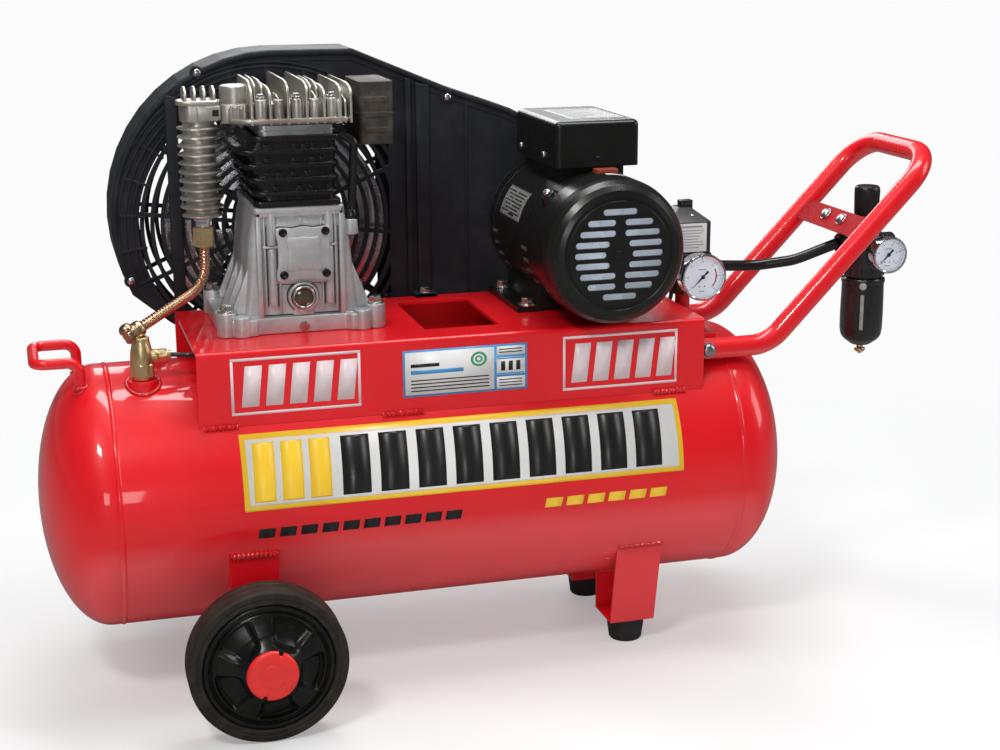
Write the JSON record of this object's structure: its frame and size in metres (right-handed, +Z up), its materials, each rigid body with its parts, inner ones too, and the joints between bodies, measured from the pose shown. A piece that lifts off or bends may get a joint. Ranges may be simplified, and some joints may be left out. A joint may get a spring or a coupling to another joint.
{
  "type": "portable air compressor",
  "caption": "Horizontal-tank portable air compressor with a belt-driven twin-cylinder pump, guarded drive, electric motor, pressure switch and filter regulator.",
  "frame": {"origin": "centre of the plan outline, on the floor", "axes": "+X along the tank towards the push handle, +Y towards the belt guard, +Z up"},
  "size_m": [1.0774, 0.526, 0.708],
  "materials": {
    "red_paint": "gloss powder coat",
    "black_paint": "gloss",
    "cast_aluminium": "satin, as cast",
    "black_casting": "black enamel",
    "steel": "satin",
    "chrome_plate": "polished",
    "zinc_plate": "zinc plated",
    "brass": "satin",
    "copper_pipe": "copper plated, ribbed",
    "black_rubber": "matte",
    "tyre_rubber": "matte",
    "guard_plastic": "textured",
    "black_plastic": "gloss",
    "red_plastic": "gloss",
    "orange_plastic": "gloss",
    "pale_plastic": "satin",
    "smoke_plastic": "gloss",
    "sight_lens": "clear with oil behind",
    "needle_black": "matte",
    "winding": "varnished copper",
    "hose_rubber": "satin"
  },
  "bodies": {
    "root": {"tank": "red_paint", "platform": "red_paint", "tank_legs": "red_paint", "rubber_feet": "black_rubber", "stub_axles": "zinc_plate", "carry_handle": "red_paint", "push_handle": "red_paint", "fasteners": "zinc_plate", "crankcase": "cast_aluminium", "bearing_cover": "cast_aluminium", "sight_glass": "sight_lens", "cylinder_block": "black_casting", "valve_plate": "steel", "cylinder_head": "cast_aluminium", "air_filter": "black_plastic", "breather_tube": "black_rubber", "aftercooler": "cast_aluminium", "tube_nuts": "brass", "discharge_tube": "copper_pipe", "check_valve": "brass", "unloader_tube": "black_paint", "belt_guard_front": "guard_plastic", "belt_guard_back": "guard_plastic", "ball_bearings": "chrome_plate", "motor_frame": "black_paint", "motor_stator": "winding", "fan_cover": "black_paint", "capacitor_box": "black_paint", "drive_belt": "black_rubber", "manifold": "brass", "pressure_switch": "black_plastic", "tank_gauge": "chrome_plate", "safety_valve": "brass", "air_hose": "hose_rubber", "regulator_body": "black_plastic", "filter_bowl": "smoke_plastic", "regulator_gauge": "chrome_plate"},
    "front_wheel": {"front_tyre": "tyre_rubber", "front_hub": "black_plastic", "front_hub_cap": "red_plastic"},
    "rear_wheel": {"rear_tyre": "tyre_rubber", "rear_hub": "black_plastic", "rear_hub_cap": "red_plastic"},
    "crank": {"crankshaft": "steel", "flywheel": "cast_aluminium"},
    "motor_spindle": {"motor_rotor": "steel", "motor_fan": "pale_plastic", "motor_pulley": "cast_aluminium"},
    "piston_1": {"piston_1": "cast_aluminium"},
    "piston_2": {"piston_2": "cast_aluminium"},
    "rod_1": {"connecting_rod_1": "cast_aluminium"},
    "rod_2": {"connecting_rod_2": "cast_aluminium"},
    "switch_knob": {"switch_knob": "black_plastic"},
    "tank_needle": {"tank_gauge_needle": "needle_black"},
    "regulator_needle": {"regulator_gauge_needle": "needle_black"},
    "regulator_knob": {"regulator_knob": "black_plastic"},
    "overload_button": {"overload_button": "orange_plastic"},
    "safety_ring": {"safety_ring": "steel"},
    "bowl_drain": {"bowl_drain": "brass"},
    "drain_tap": {"drain_tap": "brass"}
  },
  "joints": [
    {"name": "front_wheel_spin", "type": "hinge", "parent": "root", "child": "front_wheel", "pos_m": [-0.31375, -0.219, 0.0865], "axis": [0, 1, 0], "continuous": true},
    {"name": "rear_wheel_spin", "type": "hinge", "parent": "root", "child": "rear_wheel", "pos_m": [-0.31375, 0.219, 0.0865], "axis": [0, 1, 0], "continuous": true},
    {"name": "crank_spin", "type": "hinge", "parent": "root", "child": "crank", "pos_m": [-0.23275, 0, 0.496], "axis": [0, 1, 0], "continuous": true},
    {"name": "motor_spin", "type": "hinge", "parent": "root", "child": "motor_spindle", "pos_m": [0.10825, 0, 0.493], "axis": [0, 1, 0], "continuous": true},
    {"name": "piston_1_slide", "type": "slide", "parent": "root", "child": "piston_1", "axis": [0, 0, 1], "range_m": [-0.019, 0.019]},
    {"name": "piston_2_slide", "type": "slide", "parent": "root", "child": "piston_2", "axis": [0, 0, 1], "range_m": [-0.019, 0.019]},
    {"name": "rod_1_swing", "type": "hinge", "parent": "piston_1", "child": "rod_1", "pos_m": [-0.23275, -0.004, 0.58908], "axis": [0, 1, 0], "range_deg": [0, 23.07]},
    {"name": "rod_2_swing", "type": "hinge", "parent": "piston_2", "child": "rod_2", "pos_m": [-0.23275, 0.06, 0.58908], "axis": [0, 1, 0], "range_deg": [-23.07, 0]},
    {"name": "switch_knob_pull", "type": "slide", "parent": "root", "child": "switch_knob", "axis": [0, 0, 1], "range_m": [0, 0.003]},
    {"name": "tank_gauge_sweep", "type": "hinge", "parent": "root", "child": "tank_needle", "pos_m": [0.25625, -0.035, 0.436], "axis": [0, 1, 0], "range_deg": [0, 270]},
    {"name": "regulator_gauge_sweep", "type": "hinge", "parent": "root", "child": "regulator_needle", "pos_m": [0.48925, -0.063, 0.455], "axis": [0, 1, 0], "range_deg": [0, 270]},
    {"name": "regulator_knob_turn", "type": "hinge", "parent": "root", "child": "regulator_knob", "pos_m": [0.48925, 0, 0.51], "axis": [0, 0, 1], "range_deg": [-540, 540]},
    {"name": "overload_button_press", "type": "slide", "parent": "root", "child": "overload_button", "axis": [0, 0, -1], "range_m": [0, 0.002]},
    {"name": "safety_ring_pull", "type": "slide", "parent": "root", "child": "safety_ring", "axis": [0, 1, 0], "range_m": [0, 0.004]},
    {"name": "bowl_drain_turn", "type": "hinge", "parent": "root", "child": "bowl_drain", "pos_m": [0.48925, 0, 0.325], "axis": [0, 0, 1], "range_deg": [0, 90]},
    {"name": "drain_tap_turn", "type": "hinge", "parent": "root", "child": "drain_tap", "pos_m": [-0.30775, 0, 0.06], "axis": [0, 0, 1], "range_deg": [0, 360]}
  ],
  "couplings": [
    {"joint": "motor_spin", "follows": "crank_spin", "ratio": 2.4717},
    {"joint": "piston_2_slide", "follows": "piston_1_slide", "ratio": -1},
    {"joint": "rod_2_swing", "follows": "rod_1_swing", "ratio": -1}
  ]
}
